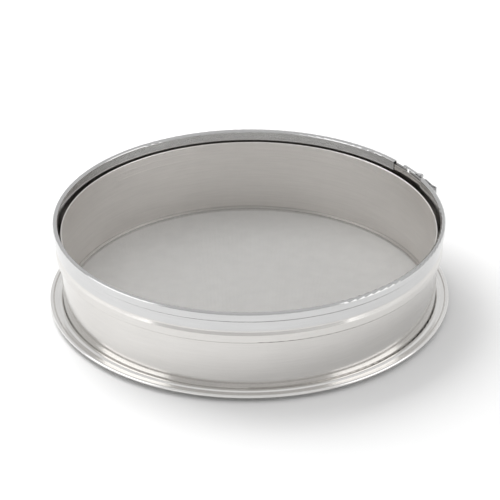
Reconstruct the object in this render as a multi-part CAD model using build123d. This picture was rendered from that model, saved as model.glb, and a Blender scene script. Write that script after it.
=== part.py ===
from build123d import *
import math
import os

# Round drum sieve in sheet steel. Millimetres, +Z up, origin at the middle of the ring it stands on.
# A screen hoop with a woven mesh floor drops into a flanged drum. A split band with a rolled rim
# closes round the top of the drum and is drawn tight by an over-centre lever latch.

# Overall sizes
rim_outer_r = 150.0        # outside of the rolled rim of the closing band
rim_top_z = 71.5           # height of the sieve
flange_overhang = 10.3     # how far the base flange stands out from the drum wall

# Sheet thicknesses
band_sheet = 0.6
drum_sheet = 0.6
flange_sheet = 0.7
hoop_sheet = 0.5
seat_sheet = 0.6           # flat ring under the base
bind_sheet = 0.4           # flat ring that binds the edge of the mesh
plate_sheet = 0.8          # latch plates and lever

# Clearances
sheet_gap = 0.3            # between sheets that slide past one another
lip_gap = 0.25             # between the rim's inner lip and the drum's upright edge
seat_gap = 0.05            # under the loose screen
pivot_gap = 0.06           # radial, round a pin that turns
fixed_gap = 0.02           # radial, round a pin or rivet that doesn't turn
cheek_gap = 0.1            # between a lever cheek and a bracket ear

# Closing band
bead_step = 1.35           # how far the rolled rim stands out from the band's skirt
band_height = 15.2         # rim's top to the lower edge of the skirt
rim_height = 7.5           # rim's top to the joggle under it
joggle_rise = 1.2
lip_height = 8.9           # rim's top to the lower edge of its inner lip
rim_bend = 1.4             # bend radius at the top of the rim, on the centre line
rim_wire_r = 0.85
tab_drop = 1.7             # flat ends of the band, under the latch, stop this far below the rim's top
split_half = 1.3           # half the gap between the band's ends, along the band
lever_side = 22.0          # the rolled rim stops this far from the split's middle, on the lever's side
catch_side = 17.0

# Drum
collar_step = 4.05         # how far the drum's collar stands out from its wall
collar_rise = 1.7          # height of the slope under the collar
collar_height = 5.6        # height of the collar's straight face
shoulder_height = 2.7      # height of the slope above the collar
shoulder_reveal = 1.4      # between the shoulder and the band's skirt
upright_drop = 3.2         # the drum's upright edge stops this far below the rim's top
drum_bends = (0.8, 0.8, 1.5, 1.0)

# Base flange: a flat foot under the wall, a ridge that hugs it, a plateau and a rolled edge
flank_gap = 0.05           # between the wall and the flange's upright flank
ridge_run = 2.9            # from the wall to the outer edge of the ridge
ridge_top_z = 6.0
plateau_top_z = 5.2
plateau_run = 4.2          # from the wall to the start of the plateau
curl_rise = 0.9            # the rolled edge stands this far above the plateau
curl_step = 1.1            # radial width of that rise
curl_r = 1.35              # outside of the rolled edge
curl_wire_r = 0.6
curl_turn_deg = 225.0
flange_bends = (0.5, 1.0, 0.7, 0.7, 0.6, 0.5)

# Seat ring
seat_inset = 4.4           # the ring reaches this far in and out from the outside of the drum wall

# Screen
hoop_drop = 9.4            # the hoop's top edge is this far below the rim's top
hem_height = 4.4
hem_offset = 0.7
foot_width = 2.4
swage_drops = (12.0, 6.2)  # from the hoop's top edge
swage_depth = 0.1
swage_half = 0.6
mesh_thickness = 0.4
bind_width = 2.8

# Latch, in its own frame: x outwards from the drum's axis, y along the band towards the catch
latch_azimuth = 31.0
latch_drop = 7.5           # middle of the latch, below the rim's top
lever_pin_r = 1.2
lever_pin_stand = 3.15     # from the band's skirt to the lever pin's centre
lever_pin_y = -7.5
bail_pin_r = 1.0
bail_arm = 6.0             # distance from the lever's pin to the bail's pin
bail_pin_inset = 0.1
lever_tilt_deg = -8.0
lever_length = 26.0
lever_half_height = 4.2
cheek_inner = 2.2          # inner face of a lever cheek, from the latch's middle height
cheek_length = 8.8
cheek_nose_r = 2.2
cheek_depth = 1.6
lever_back = 2.0           # centre of the lever's back, outwards from its pin
lever_corner_r = 1.6
lip_run = 4.5
lip_rise = 1.3
bail_wire_r = 0.8
bail_gap = 0.2             # between the bail's wire and the lever pin's heads
bail_bend = 1.8
eye_r = 2.2
bail_end_stand = 1.95      # from the band's skirt to the bail's far end
bail_reach = 16.6          # from the lever's pin to the far end of the bail
catch_gap = 0.35           # between the bail's end and the catch
tongue_height = 3.0
tongue_half = 3.6
plate_half = 4.4
bracket_from = 3.1         # latch plates start and end this far from the split's middle
bracket_to = 12.4
catch_from = 3.1
catch_to = 14.5
rivet_r = 0.8
rivet_head_r = 1.5
rivet_head = 0.6
bracket_rivets = (-4.9, -10.6)
catch_rivets = (4.9, 11.9)
pin_head_r = 1.9
pin_head = 0.5

# Radii that follow
skirt_outer_r = rim_outer_r - bead_step
skirt_inner_r = skirt_outer_r - band_sheet
upright_outer_r = skirt_inner_r - sheet_gap
upright_inner_r = upright_outer_r - drum_sheet
lip_outer_r = upright_inner_r - lip_gap
lip_inner_r = lip_outer_r - band_sheet
wall_outer_r = skirt_outer_r - collar_step
wall_inner_r = wall_outer_r - drum_sheet
hoop_outer_r = wall_inner_r - sheet_gap
hoop_inner_r = hoop_outer_r - hoop_sheet
flange_outer_r = wall_outer_r + flange_overhang
lever_pin_x = skirt_outer_r + lever_pin_stand
bail_end_x = skirt_outer_r + bail_end_stand

# Heights that follow
skirt_bottom_z = rim_top_z - band_height
skirt_top_z = rim_top_z - rim_height
upright_foot_z = skirt_bottom_z - shoulder_reveal
collar_top_z = upright_foot_z - shoulder_height
collar_foot_z = collar_top_z - collar_height - collar_rise
hoop_top_z = rim_top_z - hoop_drop
latch_mid_z = rim_top_z - latch_drop
flange_root_z = seat_sheet + flange_sheet
bind_bottom_z = seat_sheet + seat_gap
mesh_bottom_z = bind_bottom_z + bind_sheet
foot_bottom_z = mesh_bottom_z + mesh_thickness
ear_inner = cheek_inner + plate_sheet + cheek_gap
ear_outer = ear_inner + plate_sheet
bail_half_height = ear_outer + pin_head + bail_wire_r + bail_gap


def bent_sheet(points, bends, thickness, curl=()):
    """Section of a bent sheet: its centre line in radius and height, thickened both ways."""
    path = FilletPolyline(*points, radius=bends)
    centre_line = Wire([*path.edges(), *curl])
    outline = offset(centre_line, amount=thickness / 2, side=Side.BOTH)
    return make_face(outline.edges())


def turned(section, start_deg=0.0, sweep_deg=360.0):
    """Turn a section round the drum's axis."""
    body = revolve(Plane.XZ * section, Axis.Z, revolution_arc=sweep_deg)
    return Rot(0, 0, start_deg) * body


def along_band(length):
    """Angle of a length measured along the outside of the band's skirt."""
    return math.degrees(length / skirt_outer_r)


def box_section(inner_r, outer_r, bottom_z, top_z):
    middle = ((inner_r + outer_r) / 2, (bottom_z + top_z) / 2)
    return Pos(*middle) * Rectangle(outer_r - inner_r, top_z - bottom_z)


def upright_pin(radius, half_height, head_r, x, y, head_inner):
    """Vertical pin about the latch's middle height, with a peened head at each end."""
    shank = Cylinder(radius, 2 * half_height)
    for side in (-1, 1):
        middle = side * (head_inner + pin_head / 2)
        shank += Pos(0, 0, middle) * Cylinder(head_r, pin_head)
    return Pos(x, y, latch_mid_z) * shank


def level_hole(radius, x, y):
    return Pos(x, y, latch_mid_z) * Cylinder(radius, 6 * plate_half)


def drum_wall():
    wall_r = wall_outer_r - drum_sheet / 2
    collar_r = skirt_outer_r - drum_sheet / 2
    edge_r = upright_outer_r - drum_sheet / 2
    points = [
        (wall_r, flange_root_z + seat_gap + drum_sheet / 2),
        (wall_r, collar_foot_z),
        (collar_r, collar_foot_z + collar_rise),
        (collar_r, collar_top_z),
        (edge_r, upright_foot_z),
        (edge_r, rim_top_z - upright_drop - drum_sheet / 2),
    ]
    return turned(bent_sheet(points, drum_bends, drum_sheet))


def base_flange():
    root_z = flange_root_z - flange_sheet / 2
    flank_r = wall_outer_r + flank_gap + flange_sheet / 2
    ridge_z = ridge_top_z - flange_sheet / 2
    plateau_z = plateau_top_z - flange_sheet / 2
    curl_line_r = curl_r - flange_sheet / 2
    curl_centre_r, curl_centre_z = curl_centre()
    points = [
        (wall_inner_r + flange_sheet / 2, root_z),
        (flank_r, root_z),
        (flank_r, ridge_z),
        (wall_outer_r + ridge_run, ridge_z),
        (wall_outer_r + plateau_run, plateau_z),
        (curl_centre_r - 2 * curl_step, plateau_z),
        (curl_centre_r - curl_step, plateau_z + curl_rise),
        (curl_centre_r, plateau_z + curl_rise),
    ]
    curl = CenterArc((curl_centre_r, curl_centre_z), curl_line_r, 90, -curl_turn_deg).edges()
    return turned(bent_sheet(points, flange_bends, flange_sheet, curl))


def curl_centre():
    """Radius and height of the middle of the flange's rolled edge."""
    return flange_outer_r - curl_r, plateau_top_z + curl_rise - curl_r


def base_wire():
    return turned(Pos(*curl_centre()) * Circle(curl_wire_r))


def seat_ring():
    return turned(box_section(wall_outer_r - seat_inset, wall_outer_r + seat_inset, 0, seat_sheet))


def screen_hoop():
    hoop_r = hoop_outer_r - hoop_sheet / 2
    foot_z = foot_bottom_z + hoop_sheet / 2
    top_z = hoop_top_z - hoop_sheet / 2
    points = [(hoop_outer_r - foot_width, foot_z), (hoop_r, foot_z)]
    bends = [0.5]
    for drop in swage_drops:
        height = hoop_top_z - drop
        points += [
            (hoop_r, height - swage_half),
            (hoop_r - swage_depth, height),
            (hoop_r, height + swage_half),
        ]
        bends += [swage_half] * 3
    points += [
        (hoop_r, top_z),
        (hoop_r + hem_offset, top_z),
        (hoop_r + hem_offset, hoop_top_z - hem_height),
    ]
    bends += [0.49 * hem_offset] * 2
    return turned(bent_sheet(points, bends, hoop_sheet))


def mesh_screen():
    return Pos(0, 0, mesh_bottom_z + mesh_thickness / 2) * Cylinder(hoop_outer_r - 0.2, mesh_thickness)


def mesh_binding_ring():
    return turned(box_section(hoop_outer_r - bind_width, hoop_outer_r - 0.1, bind_bottom_z, mesh_bottom_z))


def closing_band():
    line_r = skirt_outer_r - band_sheet / 2
    rim_line_r = rim_outer_r - band_sheet / 2
    lip_line_r = lip_outer_r - band_sheet / 2
    crown_z = rim_top_z - band_sheet / 2
    points = [
        (line_r, skirt_bottom_z + band_sheet / 2),
        (line_r, skirt_top_z),
        (rim_line_r, skirt_top_z + joggle_rise),
        (rim_line_r, crown_z),
        (lip_line_r, crown_z),
        (lip_line_r, rim_top_z - lip_height + band_sheet / 2),
    ]
    section = bent_sheet(points, [0.6, 0.6, rim_bend, rim_bend], band_sheet)
    rolled_sweep = 360 - along_band(lever_side + catch_side)
    band = turned(section, along_band(catch_side), rolled_sweep)
    tab = box_section(skirt_inner_r, skirt_outer_r, skirt_bottom_z, rim_top_z - tab_drop)
    band += turned(tab, along_band(split_half), along_band(catch_side - split_half))
    band += turned(tab, along_band(-lever_side), along_band(lever_side - split_half))
    for length in (*bracket_rivets, *catch_rivets):
        band -= rivet_hole(length)
    return band


def rim_wire():
    top_z = rim_top_z - band_sheet - rim_wire_r - seat_gap
    middle_r = (lip_outer_r + rim_outer_r - band_sheet) / 2
    sweep = 360 - along_band(lever_side + catch_side + 2 * split_half)
    return turned(Pos(middle_r, top_z) * Circle(rim_wire_r), along_band(catch_side + split_half), sweep)


def rivet_hole(length):
    hole = Pos(skirt_outer_r, 0, latch_mid_z) * Rot(0, 90, 0) * Cylinder(rivet_r + fixed_gap, 6)
    return Rot(0, 0, along_band(length)) * hole


def rivets(lengths):
    """Rivets on radii of the drum, flush inside the band and domed outside the latch plate."""
    start = skirt_inner_r + fixed_gap
    head_from = skirt_outer_r + plate_sheet
    shank = Pos((start + head_from) / 2, 0, 0) * Rot(0, 90, 0) * Cylinder(rivet_r, head_from - start)
    head = Pos(head_from + rivet_head / 2, 0, 0) * Rot(0, 90, 0) * Cylinder(rivet_head_r, rivet_head)
    head = fillet(head.edges().filter_by(GeomType.CIRCLE).sort_by(Axis.X)[-1], 0.8 * rivet_head)
    rivet = Pos(0, 0, latch_mid_z) * (shank + head)
    return Compound([Rot(0, 0, along_band(length)) * rivet for length in lengths])


def curved_plate(start, length, rivet_lengths):
    """Latch plate that lies on a flat end of the band."""
    section = box_section(
        skirt_outer_r, skirt_outer_r + plate_sheet, latch_mid_z - plate_half, latch_mid_z + plate_half
    )
    plate = turned(section, along_band(start), along_band(length))
    for rivet_length in rivet_lengths:
        plate -= rivet_hole(rivet_length)
    return plate


def lever_bracket():
    bracket = curved_plate(-bracket_to, bracket_to - bracket_from, bracket_rivets)
    plate_x = skirt_outer_r + plate_sheet / 2
    root_x = plate_x * math.cos(math.radians(along_band(bracket_to)))
    root = Pos((root_x + lever_pin_x) / 2, lever_pin_y) * Rectangle(lever_pin_x - root_x, 2 * cheek_nose_r)
    ear = root + Pos(lever_pin_x, lever_pin_y) * Circle(cheek_nose_r)
    for bottom in (ear_inner, -ear_outer):
        bracket += Pos(0, 0, latch_mid_z + bottom) * extrude(ear, plate_sheet)
    inside_band = box_section(skirt_inner_r - bracket_to, skirt_outer_r, 0, rim_top_z)
    bracket -= turned(inside_band, -2 * along_band(bracket_to), 2 * along_band(bracket_to))
    return bracket - level_hole(lever_pin_r + fixed_gap, lever_pin_x, lever_pin_y)


def catch_y():
    """Where the catch's tongue stands: just inside the far end of the bail."""
    return lever_pin_y + bail_reach - bail_wire_r - catch_gap - plate_sheet / 2


def catch_plate():
    plate = curved_plate(catch_from, catch_to - catch_from, catch_rivets)
    root_x = math.sqrt(skirt_outer_r ** 2 - catch_y() ** 2) + plate_sheet / 2
    tip_x = root_x + plate_sheet / 2 + tongue_height
    tongue = Box(tip_x - root_x, plate_sheet, 2 * tongue_half)
    return plate + Pos((root_x + tip_x) / 2, catch_y(), latch_mid_z) * tongue


def lever_pin():
    return upright_pin(lever_pin_r, ear_outer, pin_head_r, lever_pin_x, lever_pin_y, ear_outer)


def on_lever(shape):
    """Place what is drawn with its pin at the origin and its handle along -Y."""
    return Pos(lever_pin_x, lever_pin_y, latch_mid_z) * Rot(0, 0, lever_tilt_deg) * shape


def bail_pin_place():
    place = on_lever(Pos(-bail_pin_inset, -bail_arm, 0)).position
    return place.X, place.Y


def lever():
    back_points = [
        (lever_back, -1),
        (lever_back, lip_run - lever_length),
        (lever_back + lip_rise, -lever_length),
    ]
    back = bent_sheet(back_points, 3.0, plate_sheet)
    cheek_outer = cheek_inner + plate_sheet
    reach = lever_length + plate_sheet
    front = Pos(-cheek_length - (reach - cheek_length) / 2, 0)
    front *= RectangleRounded(reach - cheek_length, 2 * lever_half_height, lever_corner_r)
    front += Pos(-cheek_length / 2, 0) * Rectangle(cheek_length + 2 * lever_corner_r, 2 * cheek_outer)
    facing = Plane(origin=(0, 0, 0), x_dir=(0, 1, 0), z_dir=(1, 0, 0)) * front
    handle = Pos(0, 0, -lever_half_height) * extrude(back, 2 * lever_half_height)
    handle &= extrude(facing, 2 * lever_back)
    depth = cheek_depth + lever_back
    cheek = Pos((lever_back - cheek_depth) / 2, -cheek_length / 2) * Rectangle(depth, cheek_length)
    cheek += Circle(cheek_nose_r)
    for bottom in (cheek_inner, -cheek_outer):
        handle += Pos(0, 0, bottom) * extrude(cheek, plate_sheet)
    handle = on_lever(handle) - level_hole(lever_pin_r + pivot_gap, lever_pin_x, lever_pin_y)
    return handle - level_hole(bail_pin_r + fixed_gap, *bail_pin_place())


def bail_pin():
    eye_outer = bail_half_height + bail_wire_r + cheek_gap
    return upright_pin(bail_pin_r, eye_outer, 1.6 * bail_pin_r, *bail_pin_place(), eye_outer)


def bail():
    pin_x, pin_y = bail_pin_place()
    end_y = lever_pin_y + bail_reach
    low_z = latch_mid_z - bail_half_height
    high_z = latch_mid_z + bail_half_height
    along = Vector(bail_end_x - pin_x, end_y - pin_y, 0).normalized()
    start = Vector(pin_x, pin_y, low_z) + along * (bail_pin_r + bail_wire_r)
    finish = start + Vector(0, 0, high_z - low_z)
    corners = [(bail_end_x, end_y, low_z), (bail_end_x, end_y, high_z)]
    path = FilletPolyline(start, *corners, finish, radius=bail_bend)
    wire_section = Plane(origin=start, z_dir=along) * Circle(bail_wire_r)
    loop = sweep(wire_section, path=path)
    for height in (low_z, high_z):
        loop += Pos(pin_x, pin_y, height) * Cylinder(eye_r, 2 * bail_wire_r)
    return loop - level_hole(bail_pin_r + pivot_gap, pin_x, pin_y)


def at_latch(shape):
    return Rot(0, 0, latch_azimuth) * shape


nodes = {
    "drum_wall": drum_wall(),
    "base_flange": base_flange(),
    "base_wire": base_wire(),
    "seat_ring": seat_ring(),
    "screen_hoop": screen_hoop(),
    "mesh_screen": mesh_screen(),
    "mesh_binding_ring": mesh_binding_ring(),
    "closing_band": at_latch(closing_band()),
    "rim_wire": at_latch(rim_wire()),
    "lever_bracket": at_latch(lever_bracket()),
    "lever_bracket_rivets": at_latch(rivets(bracket_rivets)),
    "catch_plate": at_latch(catch_plate()),
    "catch_plate_rivets": at_latch(rivets(catch_rivets)),
    "lever_pin": at_latch(lever_pin()),
    "latch_lever": at_latch(lever()),
    "bail_pin": at_latch(bail_pin()),
    "wire_bail": at_latch(bail()),
}

os.makedirs("parts", exist_ok=True)
for name, shape in nodes.items():
    shape.label = name
    export_step(shape, f"parts/{name}.step")

turn = math.radians(latch_azimuth)
for pin_name, (x, y) in {"lever pin": (lever_pin_x, lever_pin_y), "bail pin": bail_pin_place()}.items():
    place_x = x * math.cos(turn) - y * math.sin(turn)
    place_y = x * math.sin(turn) + y * math.cos(turn)
    print(pin_name, round(place_x, 3), round(place_y, 3))
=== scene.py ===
"""Looks of a round drum sieve in stainless steel: woven screen, steel finishes, studio."""

import math

import bmesh
import bpy
from bpy.props import FloatProperty, FloatVectorProperty, PointerProperty
from mathutils import Matrix, Vector


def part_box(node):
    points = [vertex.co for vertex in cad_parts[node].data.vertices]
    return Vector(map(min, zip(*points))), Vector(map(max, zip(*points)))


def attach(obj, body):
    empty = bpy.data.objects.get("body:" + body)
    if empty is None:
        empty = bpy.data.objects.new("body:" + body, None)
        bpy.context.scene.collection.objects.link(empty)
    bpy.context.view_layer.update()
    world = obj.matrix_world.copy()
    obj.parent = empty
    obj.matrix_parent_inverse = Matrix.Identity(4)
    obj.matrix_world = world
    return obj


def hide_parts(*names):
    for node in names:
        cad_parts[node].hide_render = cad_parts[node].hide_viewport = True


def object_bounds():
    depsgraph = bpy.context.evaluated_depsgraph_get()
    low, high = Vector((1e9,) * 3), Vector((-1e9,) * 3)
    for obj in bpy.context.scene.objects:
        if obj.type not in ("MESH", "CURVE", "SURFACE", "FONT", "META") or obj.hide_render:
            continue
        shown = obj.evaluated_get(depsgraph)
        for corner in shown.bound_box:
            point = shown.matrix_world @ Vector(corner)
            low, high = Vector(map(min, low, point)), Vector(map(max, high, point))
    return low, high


bl_info = {
    "name": "Drum Sieve",
    "version": (1, 0, 0),
    "blender": (4, 5, 0),
    "location": "View3D > Sidebar > Drum Sieve",
    "description": "Weaves the screen of a drum sieve, finishes its steel and lights it",
    "category": "Object",
}

MM = 0.001

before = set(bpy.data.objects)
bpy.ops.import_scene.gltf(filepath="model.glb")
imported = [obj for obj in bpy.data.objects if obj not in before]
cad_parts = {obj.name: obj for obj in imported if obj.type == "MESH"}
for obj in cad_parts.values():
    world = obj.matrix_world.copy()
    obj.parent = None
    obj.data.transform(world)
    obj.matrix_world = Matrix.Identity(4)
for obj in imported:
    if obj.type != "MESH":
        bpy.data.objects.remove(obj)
cad_box = [list(corner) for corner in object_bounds()]
SCREEN_LOW, SCREEN_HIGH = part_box("mesh_screen")
HOOP_LOW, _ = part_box("screen_hoop")
SIEVE_TOP = cad_box[1][2]

# Painted shade at the hoop's foot, where it meets the screen: the colour is darkened below the first
# height and full above the second, which hides the foot's bright reflection
PAINTED_SHADE_FROM, PAINTED_SHADE_TO = HOOP_LOW.z + 0.8 * MM, HOOP_LOW.z + 2.5 * MM
PAINTED_SHADE_FACTOR = 0.68

# The screen's layers are cut into three pieces at these shares of its radius
SCREEN_CUTS = (-0.27, 0.27)
WOVEN_ROUGHNESS = 0.36
WELD_DISTANCE = 0.02 * MM

PRESSED_ROUGHNESS = 0.24
WIRE_ROUGHNESS = 0.22

# Lines and broader streaks that run round the sheet: how fast they change along and across
LINES_ALONG, LINES_ACROSS = 2.2, 5200
STREAKS_ALONG, STREAKS_ACROSS = 5.0, 700

# Depth of the lines that finishing leaves, and how much handling has marked the sheet
SATIN_LINES, SATIN_SMUDGE = 0.012 * MM, 1.0
POLISHED_LINES, POLISHED_SMUDGE = 0.006 * MM, 0.6
HOOP_LINES, HOOP_SMUDGE = 0.015 * MM, 1.0

# Name, place, size in metres, power in watts, and whether the steel mirrors it
SOFTBOXES = [
    ("key_light", (-0.75, 0.85, 1.45), (1.3, 1.3), 27, False),
    ("left_light", (-1.7, -0.5, 0.65), (1.5, 1.2), 7, True),
    ("right_light", (1.7, -0.5, 0.65), (1.5, 1.2), 6, True),
]

# Brightness of the room behind the camera and beyond the sieve, and how much it gains towards the
# ceiling and towards the horizon
ROOM_NEAR, ROOM_FAR = 0.61, 0.69
CEILING_GAIN = 1.1
HORIZON_GAIN = 1.4

# Where those changes start and end, as the part of a direction that points away or up
ACROSS_ROOM = (-0.95, 0.6)
TO_CEILING = (0.2, 0.9)
OFF_HORIZON = (0.02, 0.2)

TABLE_DARK, TABLE_LIGHT = (0.86, 0.86, 0.86), (0.88, 0.88, 0.88)

# How far the camera's aim, and its line of sight, stand off the middle of the sieve
AIM_ASIDE = 0.7 * MM
SIGHT_ASIDE = -0.25 * MM


# ---------------------------------------------------------------- settings


class WeaveSettings(bpy.types.PropertyGroup):
    pitch: FloatProperty(
        name="Pitch", description="Distance between wires", default=1.05 * MM, unit="LENGTH"
    )
    wire: FloatProperty(
        name="Wire", description="Diameter of the woven wire", default=0.32 * MM, unit="LENGTH"
    )
    tuck: FloatProperty(
        name="Tuck",
        description="How far short of the screen's edge the wires end, under the hoop's foot",
        default=0.7 * MM,
        unit="LENGTH",
    )
    colour: FloatVectorProperty(
        name="Colour",
        description="Reflectance of the wire",
        default=(0.86, 0.85, 0.83),
        subtype="COLOR",
    )


class SteelSettings(bpy.types.PropertyGroup):
    satin: FloatVectorProperty(
        name="Satin",
        description="Reflectance of the satin sheet",
        default=(0.67, 0.655, 0.635),
        subtype="COLOR",
    )
    polished: FloatVectorProperty(
        name="Polished",
        description="Reflectance of the polished sheet",
        default=(0.61, 0.61, 0.61),
        subtype="COLOR",
    )
    base: FloatVectorProperty(
        name="Base",
        description="Reflectance of the base flange",
        default=(0.88, 0.87, 0.855),
        subtype="COLOR",
    )
    hoop: FloatVectorProperty(
        name="Hoop",
        description="Reflectance of the screen's hoop",
        default=(0.87, 0.845, 0.82),
        subtype="COLOR",
    )
    hoop_roughness: FloatProperty(
        name="Hoop roughness",
        description="Roughness of the screen's hoop",
        default=0.36,
        min=0,
        max=1,
    )
    latch: FloatVectorProperty(
        name="Latch",
        description="Reflectance of the pressed latch",
        default=(0.68, 0.68, 0.68),
        subtype="COLOR",
    )
    satin_roughness: FloatProperty(
        name="Satin roughness", description="Roughness of the satin sheet", default=0.13, min=0, max=1
    )
    polished_roughness: FloatProperty(
        name="Polished roughness",
        description="Roughness of the polished sheet",
        default=0.13,
        min=0,
        max=1,
    )


class StageSettings(bpy.types.PropertyGroup):
    distance: FloatProperty(
        name="Distance", description="From the camera to what it looks at", default=1.692, unit="LENGTH"
    )
    elevation: FloatProperty(
        name="Elevation",
        description="Camera's angle above the table",
        default=math.radians(28.99),
        subtype="ANGLE",
    )
    roll: FloatProperty(
        name="Roll",
        description="Turn of the camera about its line of sight",
        default=math.radians(-0.35),
        subtype="ANGLE",
    )
    lens: FloatProperty(name="Lens", description="Focal length in millimetres", default=157.9)
    aim_height: FloatProperty(
        name="Aim height",
        description="Height of the point that the camera looks at, as a share of the sieve's height",
        default=0.56,
        subtype="FACTOR",
    )
    floor: FloatProperty(name="Floor", description="Radius of the floor", default=6.0, unit="LENGTH")


SETTINGS = {
    "sieve_weave": WeaveSettings,
    "sieve_steel": SteelSettings,
    "sieve_stage": StageSettings,
}


# ---------------------------------------------------------------- material recipes


class Flow:
    """An output socket in a node tree, with arithmetic on values."""

    def __init__(self, recipe, socket):
        self.recipe = recipe
        self.socket = socket

    def combine(self, operation, *values):
        return self.recipe.add("ShaderNodeMath", {"operation": operation}, dict(enumerate(values)))

    def __add__(self, other):
        return self.combine("ADD", self, other)

    __radd__ = __add__

    def __mul__(self, other):
        return self.combine("MULTIPLY", self, other)

    __rmul__ = __mul__

    def __pow__(self, other):
        return self.combine("POWER", self, other)


class Recipe:
    """A material or world's node tree, filled by one method."""

    def __init__(self, owner):
        owner.use_nodes = True
        self.owner = owner
        self.tree = owner.node_tree
        self.tree.nodes.clear()

    def add(self, kind, settings=None, inputs=None, output=0):
        """A node of this kind: its settings first, then the values or links of its sockets."""
        node = self.tree.nodes.new(kind)
        for name, value in (settings or {}).items():
            setattr(node, name, value)
        for key, value in (inputs or {}).items():
            socket = node.inputs[key]
            if isinstance(value, Flow):
                self.tree.links.new(value.socket, socket)
            else:
                socket.default_value = value
        return Flow(self, node.outputs[output]) if len(node.outputs) else node

    def noise(self, vector, scale, detail=2.0, roughness=0.5):
        sizes = {"Vector": vector, "Scale": scale, "Detail": detail, "Roughness": roughness}
        return self.add("ShaderNodeTexNoise", {}, sizes)

    def between(self, value, low, high, to_low=0.0, to_high=1.0):
        """Value moved from the range low..high to to_low..to_high, and held inside it."""
        ends = {"From Min": low, "From Max": high, "To Min": to_low, "To Max": to_high}
        return self.add("ShaderNodeMapRange", {"clamp": True}, {"Value": value, **ends})

    def tint(self, factor, low, high):
        """A colour between low and high, each plain numbers or another socket's colour."""
        ends = {"A": low, "B": high}
        for name, colour in ends.items():
            if not isinstance(colour, Flow):
                ends[name] = (*colour, 1.0)
        inputs = {"Factor": factor, **ends}
        return self.add("ShaderNodeMix", {"data_type": "RGBA"}, inputs, output="Result")

    def bump(self, height, distance, strength, under=None):
        inputs = {"Height": height, "Distance": distance, "Strength": strength}
        if under is not None:
            inputs["Normal"] = under
        return self.add("ShaderNodeBump", {}, inputs)

    def place(self):
        """The object coordinates, and the radius, angle and height about the drum's axis."""
        point = self.add("ShaderNodeTexCoord", output="Object")
        parts = self.add("ShaderNodeSeparateXYZ", {}, {"Vector": point})
        outputs = parts.socket.node.outputs
        x, y, z = (Flow(self, outputs[axis]) for axis in "XYZ")
        radius = (x * x + y * y) ** 0.5
        angle = x.combine("ARCTAN2", y, x)
        return point, radius, angle, z

    def vector(self, x, y, z):
        return self.add("ShaderNodeCombineXYZ", {}, {"X": x, "Y": y, "Z": z})

    def surface(self, inputs):
        shader = self.add("ShaderNodeBsdfPrincipled", {}, inputs)
        self.add("ShaderNodeOutputMaterial", {}, {"Surface": shader})
        return self.owner


def shade(colour, factor):
    """A lighter or darker tone of a colour."""
    return tuple(min(1.0, channel * factor) for channel in colour)


def turned_steel(name, colour, roughness, line_depth, smudge, painted_foot_shade=None):
    """Sheet steel that was finished while it turned: fine lines run round the drum's axis.

    The last argument gives two heights for painted shade at the foot: the colour is darker below the
    first, and full above the second.
    """
    recipe = Recipe(bpy.data.materials.new(name))
    point, radius, angle, height = recipe.place()
    ring = recipe.vector(angle * LINES_ALONG, radius * LINES_ACROSS, height * LINES_ACROSS)
    band = recipe.vector(angle * STREAKS_ALONG, radius * STREAKS_ACROSS, height * STREAKS_ACROSS)
    lines = recipe.noise(ring, scale=1.0, detail=3.0, roughness=0.6)
    streaks = recipe.noise(band, scale=1.0, detail=2.0, roughness=0.55)
    clouds = recipe.noise(point, scale=16.0, detail=4.0, roughness=0.6)
    marks = recipe.noise(point, scale=120.0, detail=3.0, roughness=0.65)
    grain = recipe.noise(point, scale=2600.0, detail=1.0, roughness=0.5)
    wiped = recipe.between(clouds, 0.35, 0.7) * smudge
    dull = recipe.between(marks, 0.52, 0.72) * smudge
    tone = lines * 0.25 + streaks * 0.3 + clouds * 0.3 + grain * 0.15
    base = recipe.tint(recipe.between(tone, 0.35, 0.65), shade(colour, 0.93), shade(colour, 1.05))
    # Painted shade: the colour darkens towards the part's foot, below the given heights
    if painted_foot_shade:
        base = recipe.tint(recipe.between(height, *painted_foot_shade), shade(colour, PAINTED_SHADE_FACTOR), base)
    rough = roughness - 0.03 + lines * 0.05 + wiped * 0.05 + dull * 0.04
    fine = recipe.bump(lines, line_depth, 0.5)
    normal = recipe.bump(grain, line_depth * 0.5, 0.25, fine)
    return recipe.surface(
        {"Base Color": base, "Metallic": 1.0, "Roughness": rough, "Normal": normal}
    )


def pressed_steel(name, colour, roughness):
    """Small bright parts, tumbled after pressing: no lines, only fine pits and soft scuffs."""
    recipe = Recipe(bpy.data.materials.new(name))
    point = recipe.add("ShaderNodeTexCoord", output="Object")
    scuffs = recipe.noise(point, scale=420.0, detail=4.0, roughness=0.65)
    pits = recipe.noise(point, scale=3200.0, detail=2.0, roughness=0.6)
    base = recipe.tint(recipe.between(scuffs, 0.35, 0.65), shade(colour, 0.88), shade(colour, 1.06))
    rough = roughness - 0.04 + recipe.between(scuffs, 0.4, 0.7) * 0.12 + pits * 0.04
    normal = recipe.bump(pits, 0.02 * MM, 0.4)
    return recipe.surface(
        {"Base Color": base, "Metallic": 1.0, "Roughness": rough, "Normal": normal}
    )


def drawn_wire(name, colour, roughness):
    """Wire pulled through a die: slight changes of tone along it."""
    recipe = Recipe(bpy.data.materials.new(name))
    point = recipe.add("ShaderNodeTexCoord", output="Object")
    runs = recipe.noise(point, scale=90.0, detail=3.0, roughness=0.6)
    fine = recipe.noise(point, scale=2400.0, detail=2.0, roughness=0.5)
    base = recipe.tint(recipe.between(runs, 0.35, 0.65), shade(colour, 0.97), shade(colour, 1.02))
    rough = roughness + runs * 0.06 + fine * 0.05
    normal = recipe.bump(fine, 0.01 * MM, 0.3)
    return recipe.surface(
        {"Base Color": base, "Metallic": 1.0, "Roughness": rough, "Normal": normal}
    )


def finish_nodes(names, material):
    """Give CAD nodes their steel in every material slot they have."""
    for name in names:
        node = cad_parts[name]
        node.data.materials.clear()
        node.data.materials.append(material)


# ---------------------------------------------------------------- woven screen


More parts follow.
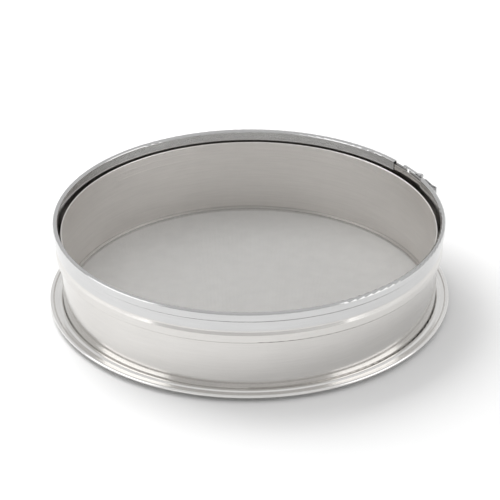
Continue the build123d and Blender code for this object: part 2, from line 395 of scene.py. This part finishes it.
def start_modelling():
    """Leave edit mode and deselect everything."""
    if bpy.context.object is not None and bpy.context.object.mode != "OBJECT":
        bpy.ops.object.mode_set(mode="OBJECT")
    bpy.ops.object.select_all(action="DESELECT")


def choose(obj):
    start_modelling()
    obj.select_set(True)
    bpy.context.view_layer.objects.active = obj
    return obj


def array(obj, count, offset, merge=False):
    """Repeat obj by an Array modifier and apply it."""
    choose(obj)
    modifier = obj.modifiers.new("Repeat", "ARRAY")
    modifier.count = count
    modifier.use_relative_offset = False
    modifier.use_constant_offset = True
    modifier.constant_offset_displace = offset
    modifier.use_merge_vertices = merge
    modifier.merge_threshold = WELD_DISTANCE
    bpy.ops.object.modifier_apply(modifier=modifier.name)


def crimped_wire(pitch, diameter, rise, crossings):
    """One four-sided wire from the origin along X, that goes over and under at each crossing."""
    start_modelling()
    bpy.ops.mesh.primitive_circle_add(
        vertices=4, radius=diameter / 2, location=(0, 0, rise), rotation=(0, math.pi / 2, 0)
    )
    wire = bpy.context.object
    bpy.ops.object.transform_apply(location=True, rotation=True, scale=True)
    bpy.ops.object.mode_set(mode="EDIT")
    bpy.ops.mesh.select_all(action="SELECT")
    for step in (-2 * rise, 2 * rise):
        bpy.ops.mesh.extrude_edges_move(TRANSFORM_OT_translate={"value": (pitch, 0, step)})
    bpy.ops.object.mode_set(mode="OBJECT")
    array(wire, crossings // 2, (2 * pitch, 0, 0), merge=True)
    return wire


def wire_layer(name, settings, reach, quarter_turn):
    """All the wires that run one way, over a square wide enough to cover the screen's round edge."""
    pitch = settings.pitch
    rise = settings.wire / 2
    half_count = math.ceil(reach / pitch / 2) + 1
    layer = crimped_wire(pitch, settings.wire, rise, 4 * half_count)
    layer.data.transform(Matrix.Translation((-2 * half_count * pitch, 0, 0)))
    choose(layer)
    bpy.ops.object.duplicate()
    neighbour = bpy.context.object
    neighbour.data.transform(Matrix.Translation((pitch, pitch, 0)))
    layer.select_set(True)
    bpy.context.view_layer.objects.active = layer
    bpy.ops.object.join()
    array(layer, 2 * half_count, (0, 2 * pitch, 0))
    layer.data.transform(Matrix.Translation((0, -2 * half_count * pitch, 0)))
    if quarter_turn:
        layer.data.transform(Matrix.Rotation(math.pi / 2, 4, "Z"))
        layer.data.transform(Matrix.Translation((pitch, 0, 0)))
    layer.data.transform(Matrix.Translation((0, 0, (SCREEN_LOW.z + SCREEN_HIGH.z) / 2)))
    layer.name = layer.data.name = name
    return layer


def trim_round(layer, reach):
    """Cut the wires off at the screen's edge and close their ends."""
    choose(layer)
    bpy.ops.object.mode_set(mode="EDIT")
    mesh = bmesh.from_edit_mesh(layer.data)
    outside = [v for v in mesh.verts if v.co.x ** 2 + v.co.y ** 2 > reach ** 2]
    bmesh.ops.delete(mesh, geom=outside, context="VERTS")
    bmesh.update_edit_mesh(layer.data)
    bpy.ops.mesh.select_all(action="SELECT")
    bpy.ops.mesh.delete_loose()
    bpy.ops.mesh.select_all(action="SELECT")
    bpy.ops.mesh.fill_holes(sides=4)
    bpy.ops.mesh.select_all(action="SELECT")
    bpy.ops.mesh.normals_make_consistent(inside=False)
    bpy.ops.object.mode_set(mode="OBJECT")


def split_layer(layer, across, cuts, pitch):
    """Part a layer into pieces of whole wires, cut half way between two of them."""
    pieces = [layer]
    for cut in cuts:
        line = (math.floor(cut / pitch) + 0.5) * pitch
        choose(pieces[-1])
        bpy.ops.object.mode_set(mode="EDIT")
        mesh = bmesh.from_edit_mesh(pieces[-1].data)
        for face in mesh.faces:
            face.select_set(face.calc_center_median()[across] > line)
        bmesh.update_edit_mesh(pieces[-1].data)
        bpy.ops.mesh.separate(type="SELECTED")
        bpy.ops.object.mode_set(mode="OBJECT")
        pieces.append(next(o for o in bpy.context.selected_objects if o is not pieces[-1]))
    return pieces


class SIEVE_OT_weave_screen(bpy.types.Operator):
    """Weave the screen from crimped wires in two directions"""

    bl_idname = "sieve.weave_screen"
    bl_label = "Weave screen"

    def execute(self, context):
        settings = context.scene.sieve_weave
        reach = SCREEN_HIGH.x - settings.tuck
        material = drawn_wire("woven_wire", tuple(settings.colour), WOVEN_ROUGHNESS)
        cuts = [reach * share for share in SCREEN_CUTS]
        for name, turned, across in (("weft_wires", False, 1), ("warp_wires", True, 0)):
            layer = wire_layer(name, settings, reach, turned)
            trim_round(layer, reach)
            for number, piece in enumerate(split_layer(layer, across, cuts, settings.pitch), 1):
                piece.name = piece.data.name = f"{name}_{number}"
                piece.data.materials.clear()
                piece.data.materials.append(material)
                choose(piece)
                bpy.ops.object.shade_smooth()
                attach(piece, "screen")
        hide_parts("mesh_screen")
        return {"FINISHED"}


# ---------------------------------------------------------------- steel finishes


class SIEVE_OT_finish_drum(bpy.types.Operator):
    """Give the drum, its base and the screen's hoop their turned finish"""

    bl_idname = "sieve.finish_drum"
    bl_label = "Finish drum and hoop"

    def execute(self, context):
        steel = context.scene.sieve_steel
        polish = (steel.polished_roughness, POLISHED_LINES, POLISHED_SMUDGE)
        satin = turned_steel(
            "satin_sheet", tuple(steel.satin), steel.satin_roughness, SATIN_LINES, SATIN_SMUDGE
        )
        polished = turned_steel("polished_sheet", tuple(steel.polished), *polish)
        brushed = turned_steel(
            "brushed_hoop",
            tuple(steel.hoop),
            steel.hoop_roughness,
            HOOP_LINES,
            HOOP_SMUDGE,
            # Painted shade at the hoop's foot, where it meets the screen
            painted_foot_shade=(PAINTED_SHADE_FROM, PAINTED_SHADE_TO),
        )
        base = turned_steel("base_sheet", tuple(steel.base), *polish)
        finish_nodes(["drum_wall", "seat_ring"], satin)
        finish_nodes(["screen_hoop", "mesh_binding_ring"], brushed)
        finish_nodes(["closing_band"], polished)
        finish_nodes(["base_flange"], base)
        return {"FINISHED"}


class SIEVE_OT_finish_latch(bpy.types.Operator):
    """Give the latch, its pins and rivets, and the wires inside the beads their finish"""

    bl_idname = "sieve.finish_latch"
    bl_label = "Finish latch and wires"

    def execute(self, context):
        steel = context.scene.sieve_steel
        pressed = pressed_steel("latch_steel", tuple(steel.latch), PRESSED_ROUGHNESS)
        wire = drawn_wire("wire_steel", tuple(steel.latch), WIRE_ROUGHNESS)
        finish_nodes(["lever_bracket", "catch_plate", "latch_lever", "lever_pin", "bail_pin"], pressed)
        finish_nodes(["lever_bracket_rivets", "catch_plate_rivets"], pressed)
        finish_nodes(["wire_bail", "rim_wire", "base_wire"], wire)
        return {"FINISHED"}


# ---------------------------------------------------------------- stage


def softbox(name, place, aim, size, power, mirrored):
    """A soft rectangular light that faces a point, and that the steel may mirror."""
    start_modelling()
    bpy.ops.object.light_add(type="AREA", location=place)
    light = bpy.context.object
    light.name = name
    light.data.shape = "RECTANGLE"
    light.data.size, light.data.size_y = size
    light.data.energy = power
    light.rotation_euler = (Vector(aim) - Vector(place)).to_track_quat("-Z", "Y").to_euler()
    light.visible_glossy = mirrored


def studio_world():
    """A grey room, darker behind the camera and brightest at the horizon."""
    world = bpy.data.worlds.new("studio")
    bpy.context.scene.world = world
    recipe = Recipe(world)
    point = recipe.add("ShaderNodeTexCoord", output="Generated")
    parts = recipe.add("ShaderNodeSeparateXYZ", {}, {"Vector": point})
    _, away, up = (Flow(recipe, parts.socket.node.outputs[axis]) for axis in "XYZ")
    walls = recipe.between(away, *ACROSS_ROOM, ROOM_NEAR, ROOM_FAR)
    room = walls * recipe.between(up, *TO_CEILING, 1.0, CEILING_GAIN)
    level = room * recipe.between(up, *OFF_HORIZON, HORIZON_GAIN, 1.0)
    background = recipe.add("ShaderNodeBackground", {}, {"Color": (1, 1, 1, 1), "Strength": level})
    recipe.add("ShaderNodeOutputWorld", {}, {"Surface": background})


def white_floor(settings):
    """The white table that the sieve stands on."""
    start_modelling()
    bpy.ops.mesh.primitive_circle_add(vertices=96, radius=settings.floor, fill_type="NGON")
    floor = bpy.context.object
    floor.name = floor.data.name = "floor"
    recipe = Recipe(bpy.data.materials.new("white_table"))
    point = recipe.add("ShaderNodeTexCoord", output="Object")
    paper = recipe.noise(point, scale=900.0)
    base = recipe.tint(paper, TABLE_DARK, TABLE_LIGHT)
    recipe.surface({"Base Color": base, "Roughness": 0.6, "Specular IOR Level": 0.2})
    floor.data.materials.append(recipe.owner)


def camera(settings):
    """A camera to the front and above, aimed a little below the sieve's rim."""
    aim = Vector((AIM_ASIDE, 0, settings.aim_height * SIEVE_TOP))
    rise = settings.elevation
    back = Vector((SIGHT_ASIDE, -math.cos(rise), math.sin(rise))).normalized()
    start_modelling()
    bpy.ops.object.camera_add(location=aim + back * settings.distance)
    eye = bpy.context.object
    eye.data.lens = settings.lens
    eye.data.clip_start, eye.data.clip_end = 0.05, 50
    eye.rotation_mode = "QUATERNION"
    roll = Matrix.Rotation(settings.roll, 3, "Z").to_quaternion()
    eye.rotation_quaternion = (-back).to_track_quat("-Z", "Y") @ roll
    bpy.context.scene.camera = eye


class SIEVE_OT_set_stage(bpy.types.Operator):
    """Lay the white floor, hang the soft lights and place the camera"""

    bl_idname = "sieve.set_stage"
    bl_label = "Set stage"

    def execute(self, context):
        settings = context.scene.sieve_stage
        context.scene.view_settings.view_transform = "Standard"
        camera(settings)
        white_floor(settings)
        studio_world()
        middle = (0, 0, SIEVE_TOP / 2)
        for name, place, size, power, mirrored in SOFTBOXES:
            softbox(name, place, middle, size, power, mirrored)
        return {"FINISHED"}


class SIEVE_PT_panel(bpy.types.Panel):
    """Lists the sieve's settings and steps"""

    bl_idname = "SIEVE_PT_panel"
    bl_label = "Drum Sieve"
    bl_space_type = "VIEW_3D"
    bl_region_type = "UI"
    bl_category = "Drum Sieve"

    def draw(self, context):
        for group in SETTINGS:
            settings = getattr(context.scene, group)
            box = self.layout.box()
            for name in settings.bl_rna.properties.keys():
                if name not in ("rna_type", "name"):
                    box.prop(settings, name)
        for step in STEPS:
            self.layout.operator(step.bl_idname)


STEPS = [
    SIEVE_OT_weave_screen,
    SIEVE_OT_finish_drum,
    SIEVE_OT_finish_latch,
    SIEVE_OT_set_stage,
]


def register():
    for kind in (*SETTINGS.values(), *STEPS, SIEVE_PT_panel):
        bpy.utils.register_class(kind)
    for name, kind in SETTINGS.items():
        setattr(bpy.types.Scene, name, PointerProperty(type=kind))


def unregister():
    for name in SETTINGS:
        delattr(bpy.types.Scene, name)
    for kind in reversed((*SETTINGS.values(), *STEPS, SIEVE_PT_panel)):
        bpy.utils.unregister_class(kind)


def main():
    register()
    for step in STEPS:
        group, name = step.bl_idname.split(".")
        getattr(getattr(bpy.ops, group), name)()


if __name__ == "__main__":
    main()
